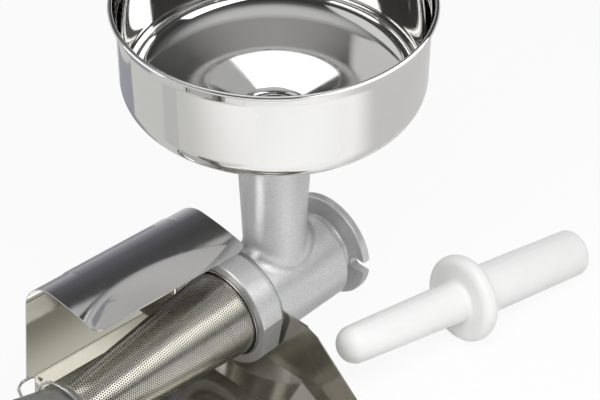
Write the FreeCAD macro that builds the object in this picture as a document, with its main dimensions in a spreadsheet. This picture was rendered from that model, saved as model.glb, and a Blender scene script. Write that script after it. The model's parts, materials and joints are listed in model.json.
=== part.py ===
import FreeCAD, Part
import Sketcher
import math
import os

# Tomato and fruit mill: a cast body on a rear drive flange, a feed hopper on its neck, a perforated
# cone strainer with a screw inside, a drip tray with a splash guard, and a loose pestle.
# Origin: centre of the rear flange face. +X points out of the flange, the strainer points along -X.

os.makedirs("parts", exist_ok=True)
doc = FreeCAD.newDocument("food_mill")
sheet = doc.addObject("Spreadsheet::Sheet", "Sizes")

# Driving sizes in millimetres, angles in degrees
SIZES = {
    # clearances
    "slip_fit": 0.05,
    "face_gap": 0.1,
    "seat_gap": 0.3,
    "thread_gap": 0.35,
    # body casting
    "flange_radius": 40.4,
    "flange_thick": 6.4,
    "slot_width": 10.0,
    "slot_centre": 31.0,
    "recess_radius": 25.0,
    "recess_depth": 4.0,
    "groove_radius": 24.0,
    "groove_width": 12.1,
    "barrel_step": 0.4,
    "barrel_end": 92.3,
    "bore_rear": 22.0,
    "nose_radius": 35.2,
    "nose_wall": 5.2,
    "nose_length": 11.7,
    "relief_depth": 0.9,
    "relief_width": 6.3,
    "neck_offset": 58.9,
    "neck_bore_radius": 20.2,
    "neck_base_wall": 0.7,
    "neck_top_wall": 7.3,
    "neck_top": 148.5,
    "neck_fillet": 11.0,
    "cast_round": 1.2,
    # hopper
    "spigot_gap": 0.4,
    "spigot_length": 26.0,
    "bowl_outlet_round": 5.0,
    "bowl_floor_slope": 11.0,
    "bowl_corner": 20.0,
    "bowl_wall_radius": 104.2,
    "bowl_wall_draft": 1.0,
    "bowl_wall_height": 72.1,
    "lip_height": 9.0,
    "lip_flare": 3.1,
    "rim_bead": 1.7,
    "hopper_sheet": 1.2,
    # ring nut and strainer
    "nut_wall": 6.25,
    "nut_length": 18.9,
    "nut_lip": 3.0,
    "nut_flat_depth": 2.9,
    "nut_flat_turn": 10.0,
    "gasket_thick": 1.4,
    "gasket_inset": 0.4,
    "rim_step": 2.2,
    "cone_end_radius": 18.6,
    "cone_length": 151.0,
    "cone_sheet": 0.8,
    "rear_ring_wall": 1.1,
    "rear_ring_proud": 1.2,
    "front_ring_length": 8.5,
    "front_ring_wall": 1.9,
    "spout_wall": 1.4,
    "spout_mouth_radius": 31.0,
    "spout_length": 34.0,
    "spout_throat": 10.0,
    # screw and drive
    "flight_pitch": 36.0,
    "flight_thick": 4.5,
    "flight_gap": 1.2,
    "screw_wall": 5.0,
    "screw_tip_radius": 8.0,
    "screw_float": 4.0,
    "hub_wall": 3.4,
    "hub_taper": 4.0,
    "shaft_radius": 8.0,
    "shaft_reach": 46.0,
    "shaft_groove_depth": 1.0,
    "tang_size": 10.0,
    "tang_length": 12.0,
    "pin_radius": 2.0,
    "pin_inset": 2.0,
    "pin_depth": 30.0,
    "bush_wall": 3.0,
    "seal_wall": 6.0,
    "seal_length": 5.0,
    "washer_wall": 12.0,
    "washer_thick": 1.6,
    "clip_wall": 3.0,
    "clip_thick": 1.2,
    "clip_gap": 5.6,
    "spring_clear": 3.7,
    "spring_wire": 1.4,
    "spring_turns": 4.0,
    "spring_pocket": 16.0,
    # drip tray, splash guard and wire clip
    "tray_tilt": 4.8,
    "tray_set_back": 4.3,
    "tray_length": 138.0,
    "tray_sheet": 1.0,
    "tray_depth": 60.0,
    "strip_clear": 1.2,
    "strip_run": 22.0,
    "tray_far": 72.5,
    "tray_near": 60.0,
    "tray_ledge": 40.0,
    "tray_joggle": 1.4,
    "tray_upstand": 7.0,
    "tray_lip": 12.0,
    "plate_top": 8.0,
    "plate_hem": 2.6,
    "outlet_reach": 135.0,
    "outlet_drop": 29.0,
    "outlet_width": 60.0,
    "outlet_strip_run": 11.0,
    "outlet_strip_drop": 9.0,
    "shoulder_run": 11.0,
    "shoulder_drop": 3.5,
    "outlet_wall_drop": 54.0,
    "near_wall_top": 34.0,
    "near_wall_drop": 33.0,
    "guard_sheet": 0.8,
    "guard_overhang": 8.2,
    "guard_rear": 2.2,
    "guard_clear": 3.5,
    "guard_slope": 7.0,
    "guard_bend": 24.5,
    "guard_corner": 7.0,
    "wire_radius": 1.1,
    "wire_bend": 5.0,
    "wire_hole_gap": 0.4,
    "wire_pivot_inset": 5.0,
    "wire_pivot_below": 7.0,
    "wire_inner_end": 2.5,
    "wire_stand_off": 3.3,
    "wire_loop_run": 17.0,
    "wire_loop_back": 6.0,
    "wire_loop_drop": 18.0,
    "wire_on_spout": 7.7,
    "wire_spout_gap": 2.2,
    "wire_end_drop": 4.0,
    # pestle lying beside the mill
    "pestle_tip_length": 121.5,
    "pestle_tip_radius": 14.2,
    "pestle_neck_radius": 16.2,
    "pestle_collar_radius": 34.0,
    "pestle_collar_thick": 14.0,
    "pestle_handle_length": 119.0,
    "pestle_handle_radius": 19.4,
    "pestle_end_radius": 18.4,
    "pestle_end_round": 5.0,
    "pestle_x": 67.8,
    "pestle_y": -75.4,
    "pestle_heading": -7.4,
}


class Size:
    """A number together with the sheet expression that it comes from."""

    def __init__(self, value, text):
        self.value = value
        self.text = text

    def __add__(self, other):
        return Size(self.value + number(other), f"({self.text} + {wording(other)})")

    def __sub__(self, other):
        return Size(self.value - number(other), f"({self.text} - {wording(other)})")

    def __mul__(self, other):
        return Size(self.value * number(other), f"({self.text} * {wording(other)})")

    def __neg__(self):
        return Size(-self.value, f"(0 - {self.text})")


def number(thing):
    return thing.value if isinstance(thing, Size) else float(thing)


def wording(thing):
    return thing.text if isinstance(thing, Size) else repr(float(thing))


class Sizes:
    """The sheet's cells by name."""


d = Sizes()
for row, (name, amount) in enumerate(SIZES.items(), start=1):
    sheet.set(f"A{row}", name)
    sheet.set(f"B{row}", str(amount))
    sheet.setAlias(f"B{row}", name)
doc.recompute()
for name in SIZES:
    setattr(d, name, Size(float(sheet.get(name)), f"Sizes.{name}"))


def vec(x, y, z):
    return FreeCAD.Vector(x, y, z)


X_AXIS, Y_AXIS, Z_AXIS = vec(1, 0, 0), vec(0, 1, 0), vec(0, 0, 1)
nodes = {}


def keep(label, thing):
    """Name a finished piece; the name is also its file's name."""
    thing.Label = label
    nodes[label] = thing
    return thing


def bind(thing, **sizes):
    for name, size in sizes.items():
        thing.setExpression(name, wording(size))
    return thing


def origin_plane(body, role):
    return next(item for item in body.Origin.OriginFeatures if item.Role == role)


def outline_sketch(body, name, corners):
    """Closed outline in the XZ plane; each corner is a pair of sizes, and 0 lies on an axis."""
    sketch = body.newObject("Sketcher::SketchObject", name)
    sketch.AttachmentSupport = [(origin_plane(body, "XZ_Plane"), "")]
    sketch.MapMode = "FlatFace"
    spots = [vec(number(a), number(b), 0) for a, b in corners]
    count = len(spots)
    for i in range(count):
        sketch.addGeometry(Part.LineSegment(spots[i], spots[(i + 1) % count]))
    for i in range(count):
        sketch.addConstraint(Sketcher.Constraint("Coincident", i, 2, (i + 1) % count, 1))
    for i, corner in enumerate(corners):
        for kind, line, size in zip(("DistanceX", "DistanceY"), (-2, -1), corner):
            if isinstance(size, Size):
                index = sketch.addConstraint(Sketcher.Constraint(kind, -1, 1, i, 1, size.value))
                sketch.setExpression(f"Constraints[{index}]", size.text)
            else:
                sketch.addConstraint(Sketcher.Constraint("PointOnObject", i, 1, line))
    return sketch


def ring_edges(shape, along, place, radius):
    """Names of the circular edges that lie at this place along the axis and have this radius."""
    found = []
    for index, edge in enumerate(shape.Edges, start=1):
        curve = edge.Curve
        if not isinstance(curve, Part.Circle):
            continue
        off = max(abs(curve.Radius - number(radius)), abs(curve.Center.dot(along) - number(place)))
        if off < d.slip_fit.value:
            found.append(f"Edge{index}")
    return found


def turned(name, corners, along=X_AXIS, rounds=()):
    """A body turned about X or Z. Corners are (along, radius); rounds are (along, radius, fillet)."""
    body = doc.addObject("PartDesign::Body", name)
    upright = along is Z_AXIS
    points = [(radius, place) if upright else (place, radius) for place, radius in corners]
    sketch = outline_sketch(body, name + "_outline", points)
    doc.recompute()
    last = body.newObject("PartDesign::Revolution", name + "_turned")
    last.Profile = sketch
    last.ReferenceAxis = (sketch, ["V_Axis" if upright else "H_Axis"])
    last.Angle = 360
    doc.recompute()
    for index, (place, radius, fillet) in enumerate(rounds):
        edges = ring_edges(last.Shape, along, place, radius)
        rounded = body.newObject("PartDesign::Fillet", f"{name}_round_{index}")
        rounded.Base = (last, edges)
        rounded.Radius = number(fillet)
        if isinstance(fillet, Size):
            bind(rounded, Radius=fillet)
        last = rounded
        doc.recompute()
    body.Tip = last
    return body


def joined(name, pieces):
    whole = doc.addObject("Part::MultiFuse", name)
    whole.Shapes = pieces
    whole.Refine = True
    return whole


def cut(name, base, tool):
    rest = doc.addObject("Part::Cut", name)
    rest.Base = base
    rest.Tool = tool
    return rest


def cylinder(name, radius, height, place, axis=Z_AXIS):
    rod = doc.addObject("Part::Cylinder", name)
    bind(rod, Radius=radius, Height=height)
    turn = FreeCAD.Rotation(Z_AXIS, axis)
    rod.Placement = FreeCAD.Placement(vec(0, 0, 0), turn)
    for letter, size in zip("xyz", place):
        if isinstance(size, Size):
            rod.setExpression(f"Placement.Base.{letter}", size.text)
    return rod


def box(name, spans):
    """A block between two sizes along each of X, Y and Z."""
    block = doc.addObject("Part::Box", name)
    for letter, side, (low, high) in zip("xyz", ("Length", "Width", "Height"), spans):
        block.setExpression(side, f"{wording(high)} - {wording(low)}")
        block.setExpression(f"Placement.Base.{letter}", wording(low))
    return block


def by_hand(name, shape, placement=None):
    """A piece whose shape is worked out below from the sheet's numbers."""
    thing = doc.addObject("Part::Feature", name)
    thing.Shape = shape
    if placement:
        thing.Placement = placement
    return thing


# Places along the barrel, counted forward from the flange face
barrel_rear = d.flange_thick + d.groove_width
nose_front = d.barrel_end + d.nose_length
nut_front = d.barrel_end + d.nut_length
lip_rear = nut_front - d.nut_lip
ring_rear = nose_front + d.gasket_thick + d.face_gap
cone_front = ring_rear + d.cone_length
spout_rear = cone_front - d.front_ring_length * 0.25
washer_rear = d.bore_rear + d.face_gap
washer_front = washer_rear + d.washer_thick
screw_rear = washer_front + d.screw_float
screw_front = cone_front + d.front_ring_length * 0.25
pocket_front = screw_rear + d.spring_pocket
pin_place = screw_rear + d.pin_depth
shaft_front = screw_rear + d.shaft_reach
clip_front = d.recess_depth - d.face_gap
clip_rear = clip_front - d.clip_thick

# Radii that follow from one another
barrel_radius = d.nose_radius + d.barrel_step
bore_radius = d.nose_radius - d.nose_wall
relief_radius = d.nose_radius - d.relief_depth
neck_base_radius = d.neck_bore_radius + d.neck_base_wall
neck_top_radius = d.neck_bore_radius + d.neck_top_wall
nut_bore = d.nose_radius + d.thread_gap
nut_radius = nut_bore + d.nut_wall
cone_radius = d.nose_radius - d.rim_step
rim_bore = cone_radius + d.slip_fit
rim_bead_radius = rim_bore + d.rear_ring_wall
nut_lip_radius = rim_bead_radius + d.thread_gap
spring_radius = d.shaft_radius + d.spring_clear + d.spring_wire * 0.5
pocket_radius = spring_radius + d.spring_wire
screw_core_radius = d.shaft_radius + d.screw_wall
pin_half = screw_core_radius - d.pin_inset
bush_radius = d.shaft_radius + d.bush_wall
seal_radius = d.shaft_radius + d.seal_wall
washer_radius = d.shaft_radius + d.washer_wall


def body_casting():
    """Barrel, feed neck, rear web and slotted flange in one casting."""
    outer = turned("casting_outer", [
        (0, 0),
        (0, d.flange_radius),
        (-d.flange_thick, d.flange_radius),
        (-d.flange_thick, d.groove_radius),
        (-barrel_rear, d.groove_radius),
        (-barrel_rear, barrel_radius),
        (-nose_front, barrel_radius),
        (-nose_front, 0),
    ], rounds=[
        (0, d.flange_radius, d.cast_round),
        (-d.flange_thick, d.flange_radius, d.cast_round),
        (-d.flange_thick, d.groove_radius, d.cast_round * 2),
        (-barrel_rear, d.groove_radius, d.cast_round * 2),
        (-barrel_rear, barrel_radius, d.cast_round),
    ])
    neck = doc.addObject("Part::Cone", "casting_neck")
    bind(neck, Radius1=neck_base_radius, Radius2=neck_top_radius, Height=d.neck_top)
    neck.setExpression("Placement.Base.x", (-d.neck_offset).text)
    solid = joined("casting_solid", [outer, neck])
    doc.recompute()

    # the neck runs into the barrel with a cast fillet
    seam = []
    for index, edge in enumerate(solid.Shape.Edges, start=1):
        span = edge.BoundBox
        round_neck = abs(span.Center.x + d.neck_offset.value) < d.cast_round.value
        low = 0 < span.ZMin and span.ZMax < barrel_radius.value + d.cast_round.value
        if round_neck and low and span.YLength > neck_base_radius.value:
            seam.append((index, d.neck_fillet.value, d.neck_fillet.value))
    blended = doc.addObject("Part::Fillet", "casting_blended")
    blended.Base = solid
    blended.Edges = seam
    doc.recompute()

    # recess, bush and seal seats and screw chamber, all on the barrel's axis
    hollow = turned("casting_hollow", [
        (0, 0),
        (0, d.recess_radius),
        (-d.recess_depth, d.recess_radius),
        (-d.recess_depth, bush_radius),
        (d.seal_length - d.bore_rear, bush_radius),
        (d.seal_length - d.bore_rear, seal_radius),
        (-d.bore_rear, seal_radius),
        (-d.bore_rear, bore_radius),
        (-nose_front, bore_radius),
        (-nose_front, 0),
    ])
    outside = nut_radius + d.neck_fillet
    nose_ring = turned("casting_nose_ring", [
        (-d.barrel_end, d.nose_radius),
        (-d.barrel_end, outside),
        (-nose_front, outside),
        (-nose_front, d.nose_radius),
    ])
    relief = turned("casting_relief", [
        (d.relief_width - d.barrel_end, relief_radius),
        (d.relief_width - d.barrel_end, outside),
        (-d.barrel_end, outside),
        (-d.barrel_end, relief_radius),
    ])
    throat = cylinder("casting_throat", d.neck_bore_radius, d.neck_top, (-d.neck_offset, 0, 0))
    tools = [hollow, nose_ring, relief, throat]

    # two open slots for the drive's studs
    half = d.slot_width * 0.5
    through = (-d.flange_thick - d.cast_round, d.cast_round)
    for side, sign in (("near", -1), ("far", 1)):
        centre = d.slot_centre * sign
        edge = (d.flange_radius + d.cast_round) * sign
        tools.append(box(f"slot_{side}", (through, sorted((edge, centre), key=number), (-half, half))))
        tools.append(cylinder(f"slot_end_{side}", half, d.flange_thick + d.cast_round * 2,
                              (-d.flange_thick - d.cast_round, centre, 0), X_AXIS))
    return cut("casting", blended, joined("casting_tools", tools))


def hopper_bowl():
    """Spun steel bowl with a flared, beaded rim, a dished floor and a round-edged spigot for the neck."""
    slope = math.radians(d.bowl_floor_slope.value)
    tube_r = d.neck_bore_radius.value - d.spigot_gap.value
    wall_r = d.bowl_wall_radius.value
    top_r = wall_r + d.bowl_wall_draft.value
    outlet_round = d.bowl_outlet_round.value
    round_depth = outlet_round * math.tan((math.pi / 2 - slope) / 2)
    tube_z = d.neck_top.value + d.spigot_gap.value + round_depth
    floor_z = tube_z + (wall_r - tube_r) * math.tan(slope)
    lip_z = floor_z + d.bowl_wall_height.value - d.lip_height.value
    rim_r = top_r + d.lip_flare.value
    rim_z = lip_z + d.lip_height.value
    skin = [
        vec(rim_r, 0, rim_z),
        vec(top_r, 0, lip_z),
        vec(wall_r, 0, floor_z),
        vec(tube_r, 0, tube_z),
        vec(tube_r, 0, tube_z - d.spigot_length.value),
    ]
    line = rounded_path(skin, [d.lip_height.value, d.bowl_corner.value, outlet_round])
    face = sheet_profile(line, d.hopper_sheet.value, skin[-1] - vec(d.hopper_sheet.value, 0, 0))
    shell = solid_of(face.revolve(vec(0, 0, 0), Z_AXIS, 360))
    bead = Part.makeTorus(rim_r, d.rim_bead.value, vec(0, 0, rim_z), Z_AXIS)
    whole = shell.fuse(bead).removeSplitter()
    on_neck = FreeCAD.Placement(vec(-d.neck_offset.value, 0, 0), FreeCAD.Rotation())
    return by_hand("hopper", solid_of(whole), on_neck)


def sheet_profile(line, thick, inner_end):
    """Section of a bent sheet: its skin line thickened towards the side of a given end point."""
    faces = [line.makeOffset2D(thick * sign, 0, True, True) for sign in (1, -1)]
    return min(faces, key=lambda face: face.distToShape(Part.Vertex(inner_end))[0])


def solid_of(shape):
    """The one solid of a shape, turned right side out."""
    solid = shape.Solids[0] if shape.Solids else Part.Solid(shape.Shells[0])
    if solid.Volume < 0:
        solid.reverse()
    return solid


def rounded_path(points, radii):
    """A wire of straight runs whose inner corners are tangent arcs of the given radii."""
    edges = []
    start = points[0]
    for before, corner, after, radius in zip(points, points[1:], points[2:], radii):
        back = (before - corner).normalize()
        ahead = (after - corner).normalize()
        half = back.getAngle(ahead) / 2
        first = corner + back * (radius / math.tan(half))
        last = corner + ahead * (radius / math.tan(half))
        inward = (back + ahead).normalize()
        middle = corner + inward * (radius / math.sin(half) - radius)
        edges.append(Part.LineSegment(start, first).toShape())
        edges.append(Part.Arc(first, middle, last).toShape())
        start = last
    edges.append(Part.LineSegment(start, points[-1]).toShape())
    return Part.Wire(edges)


def ring_nut():
    """Hand nut with two flats; it clamps the strainer's rim on the nose."""
    ring_body = turned("nut_ring", [
        (-d.barrel_end, nut_bore),
        (-d.barrel_end, nut_radius),
        (-nut_front, nut_radius),
        (-nut_front, nut_lip_radius),
        (-lip_rear, nut_lip_radius),
        (-lip_rear, nut_bore),
    ], rounds=[
        (-d.barrel_end, nut_radius, d.cast_round),
        (-nut_front, nut_radius, d.cast_round),
        (-nut_front, nut_lip_radius, d.cast_round * 0.5),
    ])
    flats = []
    for side, turn in (("near", 180), ("far", 0)):
        flat = box(f"nut_flat_{side}", (
            (-nut_front - d.nut_lip, -d.barrel_end + d.nut_lip),
            (nut_radius - d.nut_flat_depth, nut_radius + d.nut_lip),
            (-nut_radius, nut_radius),
        ))
        doc.recompute()
        shape = flat.Shape.copy()
        shape.rotate(vec(0, 0, 0), X_AXIS, turn + d.nut_flat_turn.value)
        flats.append(by_hand(f"nut_flat_cut_{side}", shape))
    return cut("nut", ring_body, joined("nut_flats", flats))


def ring(name, rear, front, inner, outer):
    """A plain turned ring between two places along the barrel."""
    return turned(name, [(-rear, inner), (-rear, outer), (-front, outer), (-front, inner)])


def cone_gasket():
    """Flat rubber ring between the nose and the strainer's rim."""
    return ring("gasket", nose_front, nose_front + d.gasket_thick,
                bore_radius + d.gasket_inset, d.nose_radius - d.gasket_inset)


cone_fall = (cone_radius.value - d.cone_end_radius.value) / d.cone_length.value


def cone_at(place):
    """Outer radius of the strainer's sheet at a place along the barrel."""
    return cone_radius.value - cone_fall * (number(place) - ring_rear.value)


def strainer_rear_ring():
    """Turned rim of the strainer: a flange behind the nut's lip and a bead in front of it."""
    flange = d.nose_radius - d.face_gap
    step = lip_rear - d.face_gap
    front = nut_front + d.rear_ring_proud
    return turned("rear_ring", [
        (-ring_rear, rim_bore),
        (-ring_rear, flange),
        (-step, flange),
        (-step, rim_bead_radius),
        (-front, rim_bead_radius),
        (-front, rim_bore),
    ], rounds=[(-front, rim_bead_radius, d.rear_ring_wall * 0.45)])


def strainer_cone():
    """Conical sheet of the strainer."""
    shells = []
    for name, inset in (("cone_outer", 0.0), ("cone_inner", 1.0)):
        cone = doc.addObject("Part::Cone", name)
        bind(cone, Radius1=cone_radius - d.cone_sheet * inset,
             Radius2=d.cone_end_radius - d.cone_sheet * inset, Height=d.cone_length)
        cone.Placement = FreeCAD.Placement(vec(0, 0, 0), FreeCAD.Rotation(Z_AXIS, -X_AXIS))
        cone.setExpression("Placement.Base.x", (-ring_rear).text)
        shells.append(cone)
    return cut("cone", *shells)


front_ring_rear = cone_front - d.front_ring_length * 0.5
front_ring_front = cone_front + d.front_ring_length * 0.5
front_ring_bore = d.cone_end_radius + d.front_ring_length * (cone_fall / 2) + d.slip_fit
front_ring_radius = front_ring_bore + d.front_ring_wall
spout_bore = front_ring_radius + d.slip_fit
spout_outside = spout_bore + d.spout_wall
spout_flare = spout_outside + d.spout_wall * 2


def strainer_front_ring():
    """Turned collar on the strainer's small end, which the waste spout slips over."""
    mouth = d.cone_end_radius - d.cone_sheet
    return turned("front_ring", [
        (-front_ring_rear, front_ring_bore),
        (-front_ring_rear, front_ring_radius),
        (-front_ring_front, front_ring_radius),
        (-front_ring_front, mouth),
        (-cone_front, mouth),
        (-cone_front, front_ring_bore),
    ])


def waste_spout():
    """Flared outlet for skins and seeds."""
    mouth = spout_rear + d.spout_length
    flare = spout_rear + d.spout_throat
    return turned("spout", [
        (-spout_rear, spout_bore),
        (-spout_rear, spout_outside),
        (-flare, spout_flare),
        (-mouth, d.spout_mouth_radius),
        (-mouth, d.spout_mouth_radius - d.spout_wall),
        (-flare - d.spout_wall, spout_flare - d.spout_wall),
        (-front_ring_front, spout_bore),
    ])


def auger():
    """Feed screw: a core with one flight that follows the barrel and then the cone."""
    hub = pocket_radius + d.hub_wall
    core = turned("auger_core", [
        (-screw_rear, 0),
        (-screw_rear, hub),
        (-pocket_front - d.hub_wall, hub),
        (-pocket_front - d.hub_wall - d.hub_taper, screw_core_radius),
        (-screw_front, d.screw_tip_radius),
        (-screw_front, 0),
    ], rounds=[(-screw_front, d.screw_tip_radius, d.screw_tip_radius * 0.5)])
    doc.recompute()

    # flight swept along a helix and trimmed first to the barrel's bore, then to the strainer
    gap = d.flight_gap.value
    half = d.flight_thick.value / 2
    rear = screw_rear.value + half
    front = cone_front.value - half
    inner = d.screw_tip_radius.value - half
    outer = cone_radius.value
    path = Part.makeHelix(d.flight_pitch.value, front - rear, (inner + outer) / 2)
    corners = [vec(inner, 0, -half), vec(outer, 0, -half), vec(outer, 0, half), vec(inner, 0, half)]
    flight = Part.Wire(path.Edges).makePipeShell([Part.makePolygon(corners + corners[:1])], True, True)
    past = 2 * d.flight_thick.value
    foot, length = vec(0, 0, -past), front - rear + 2 * past
    inset = d.cone_sheet.value + gap
    chamber = Part.makeCylinder(bore_radius.value - gap, length, foot)
    taper = Part.makeCone(cone_at(rear - past) - inset, cone_at(front + past) - inset, length, foot)
    flight = solid_of(flight).common(chamber).common(taper)
    flight.Placement = FreeCAD.Placement(vec(-rear, 0, 0), FreeCAD.Rotation(Z_AXIS, -X_AXIS))

    # blind hole for the shaft, a pocket for the spring and a slot that the shaft's pin drives
    rear_face = vec(-screw_rear.value, 0, 0)
    slip = d.slip_fit.value
    reach = d.shaft_reach.value + d.seat_gap.value
    bore = Part.makeCylinder(d.shaft_radius.value + slip, reach, rear_face, -X_AXIS)
    pocket = Part.makeCylinder(pocket_radius.value, d.spring_pocket.value, rear_face, -X_AXIS)
    wide, tall = d.pin_radius.value + slip, pin_half.value + d.seat_gap.value
    deep = pin_place.value + d.pin_radius.value + d.seat_gap.value - screw_rear.value
    slot = Part.makeBox(deep, 2 * wide, 2 * tall, vec(-screw_rear.value - deep, -wide, -tall))
    whole = core.Shape.fuse(flight).cut(bore).cut(pocket).cut(slot).removeSplitter()
    return by_hand("auger_screw", max(whole.Solids, key=lambda solid: solid.Volume))


def drive_shaft():
    """Steel shaft with a square tang for the drive, a clip groove and a pin hole."""
    rod = cylinder("shaft_rod", d.shaft_radius, shaft_front, (-shaft_front, 0, 0), X_AXIS)
    half = d.tang_size * 0.5
    tang = box("shaft_tang", ((-d.recess_depth, d.tang_length), (-half, half), (-half, half)))
    whole = joined("shaft_whole", [rod, tang])
    bottom = d.shaft_radius - d.shaft_groove_depth
    outside = d.shaft_radius + d.shaft_groove_depth
    groove = ring("shaft_groove", clip_rear - d.slip_fit, clip_front + d.slip_fit, bottom, outside)
    hole = cylinder("shaft_pin_hole", d.pin_radius + d.slip_fit, d.shaft_radius * 4,
                    (-pin_place, 0, -d.shaft_radius * 2))
    return cut("shaft", whole, joined("shaft_cuts", [groove, hole]))


def shaft_pin():
    """Cross pin that turns the screw with the shaft."""
    return cylinder("cross_pin", d.pin_radius, pin_half * 2, (-pin_place, 0, -pin_half))


def retaining_clip():
    """Open spring clip in the shaft's groove, against the bush."""
    bottom = d.shaft_radius - d.shaft_groove_depth + d.slip_fit
    outside = d.shaft_radius + d.clip_wall
    whole = ring("clip_ring", clip_rear, clip_front, bottom, outside)
    half = d.clip_gap * 0.5
    gap = box("clip_opening", ((-d.recess_depth, 0), (-half, half), (0, outside * 2)))
    return cut("clip", whole, gap)


def auger_spring():
    """Coil spring that presses the screw forward off the thrust washer."""
    wire = d.spring_wire.value / 2
    radius = spring_radius.value
    rear = washer_front.value + wire + d.seat_gap.value
    front = pocket_front.value - wire - d.seat_gap.value
    pitch = (front - rear) / d.spring_turns.value

    def on_coil(quarters):
        turn = quarters * math.pi / 2
        return vec(radius * math.cos(turn), radius * math.sin(turn), pitch * quarters / 4)

    quarters = range(round(4 * d.spring_turns.value))
    arcs = [Part.Arc(on_coil(k), on_coil(k + 0.5), on_coil(k + 1)).toShape() for k in quarters]
    circle = Part.Circle(on_coil(0), vec(0, 2 * math.pi * radius, pitch), wire)
    coil = solid_of(Part.Wire(arcs).makePipeShell([Part.Wire(circle.toShape())], True, False))
    print("spring gap between turns", round(pitch - d.spring_wire.value, 2), "mm")
    return by_hand("spring", coil, FreeCAD.Placement(vec(-rear, 0, 0), FreeCAD.Rotation(Z_AXIS, -X_AXIS)))


# The tray, its back plate and the splash guard hang together, with the front a little raised
tray_rear = d.barrel_end.value - d.tray_set_back.value
strip_top = nut_radius.value + d.strip_clear.value
tray_high = nut_radius.value * 2
hang = FreeCAD.Placement(vec(-tray_rear, 0, 0), FreeCAD.Rotation(Y_AXIS, d.tray_tilt.value))
outlet_low = d.tray_depth.value + d.outlet_drop.value
table_level = hang.multVec(vec(-d.outlet_strip_run.value, 0, -outlet_low)).z - d.seat_gap.value


def prism(corners, axis, low, high):
    """A straight prism: an outline in the plane square to the axis, between two places along it."""
    if axis is Y_AXIS:
        spots = [vec(a, low, b) for a, b in corners]
    else:
        spots = [vec(low, a, b) for a, b in corners]
    face = Part.Face(Part.makePolygon(spots + spots[:1]))
    return face.extrude(axis * (high - low))


def folded_section(inset, wall, strip_run, strip_height, low, width):
    """Section through the pan: back, sloping strip, floor and front, moved in by a sheet thickness."""
    rise = inset * math.hypot(strip_height, strip_run) / strip_run
    shift = (rise - inset) * strip_run / strip_height
    return [
        (-wall, tray_high),
        (-wall, rise + strip_height - low - wall * strip_height / strip_run),
        (-strip_run - shift, inset - low),
        (inset - width, inset - low),
        (inset - width, tray_high),
    ]


def tray_section(inset, wall):
    low = d.tray_depth.value
    return folded_section(inset, wall, d.strip_run.value, low - strip_top, low, d.tray_length.value)


def outlet_section(inset):
    return folded_section(inset, inset, d.outlet_strip_run.value, d.outlet_strip_drop.value, outlet_low,
                          d.outlet_width.value)


def outlet(inset, margin):
    """Tapering outlet between the tray's near side and its own end, stretched past both by a margin."""
    near = -d.tray_near.value
    span = -d.outlet_reach.value - near
    ends = []
    for share in (margin / span, 1 - margin / span):
        spots = []
        for (xa, za), (xb, zb) in zip(tray_section(inset, inset), outlet_section(inset)):
            spots.append(vec(xa + (xb - xa) * share, near + span * share, za + (zb - za) * share))
        ends.append(Part.makePolygon(spots + spots[:1]))
    return solid_of(Part.makeLoft(ends, True, True))


def drip_tray():
    """Folded steel tray under the strainer, open on top, with a sloping outlet on the near side."""
    t = d.tray_sheet.value
    margin = 2 * t
    near, far = -d.tray_near.value, d.tray_far.value
    outside = prism(tray_section(0, 0), Y_AXIS, near, far).fuse(outlet(0, 0))
    inside = prism(tray_section(t, 0), Y_AXIS, near, far - t).fuse(outlet(t, margin))
    shell = outside.cut(inside)

    # each wall comes down to its own height
    ledge = -d.tray_ledge.value
    front = -d.tray_length.value
    end = -d.outlet_reach.value
    over_pan = [(margin, ledge), (front - margin, ledge), (front - margin, tray_high), (margin, tray_high)]
    lip = d.tray_lip.value - d.tray_depth.value
    over_lip = [(front + t, lip), (front - margin, lip), (front - margin, tray_high), (front + t, tray_high)]
    shell = shell.cut(prism(over_pan, Y_AXIS, near, far + margin)).cut(prism(over_lip, Y_AXIS, near, far - t))
    top, low_top = d.plate_top.value, d.plate_top.value - d.outlet_wall_drop.value
    over_back = [
        (near, top),
        (near - d.shoulder_run.value, top - d.shoulder_drop.value),
        (end, low_top),
        (end - margin, low_top),
        (end - margin, tray_high),
        (near, tray_high),
    ]
    near_top, near_low = -d.near_wall_top.value, -d.near_wall_top.value - d.near_wall_drop.value
    over_near = [
        (near, near_top),
        (end, near_low),
        (end - margin, near_low),
        (end - margin, tray_high),
        (near, tray_high),
    ]
    shell = shell.cut(prism(over_back, X_AXIS, -t, margin)).cut(prism(over_near, X_AXIS, front - margin, -t))

    # joggled top of the far wall: a seat for the splash guard's edge and an upstand behind it
    out, high = far + d.tray_joggle.value, ledge + d.tray_upstand.value
    seat = [(far - t, ledge - t), (out, ledge - t), (out, ledge), (far - t, ledge)]
    upstand = [(out - t, ledge - t), (out, ledge - t), (out, high), (out - t, high)]
    for block in (seat, upstand):
        shell = shell.fuse(prism(block, X_AXIS, front, 0))

    # pivot hole for the wire clip
    hole = Part.makeCylinder(d.wire_radius.value + d.wire_hole_gap.value, 2 * margin,
                             vec(wire_pivot_x, far - margin, wire_pivot_z), Y_AXIS)
    return by_hand("tray", solid_of(shell.cut(hole).removeSplitter()), hang)


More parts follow.
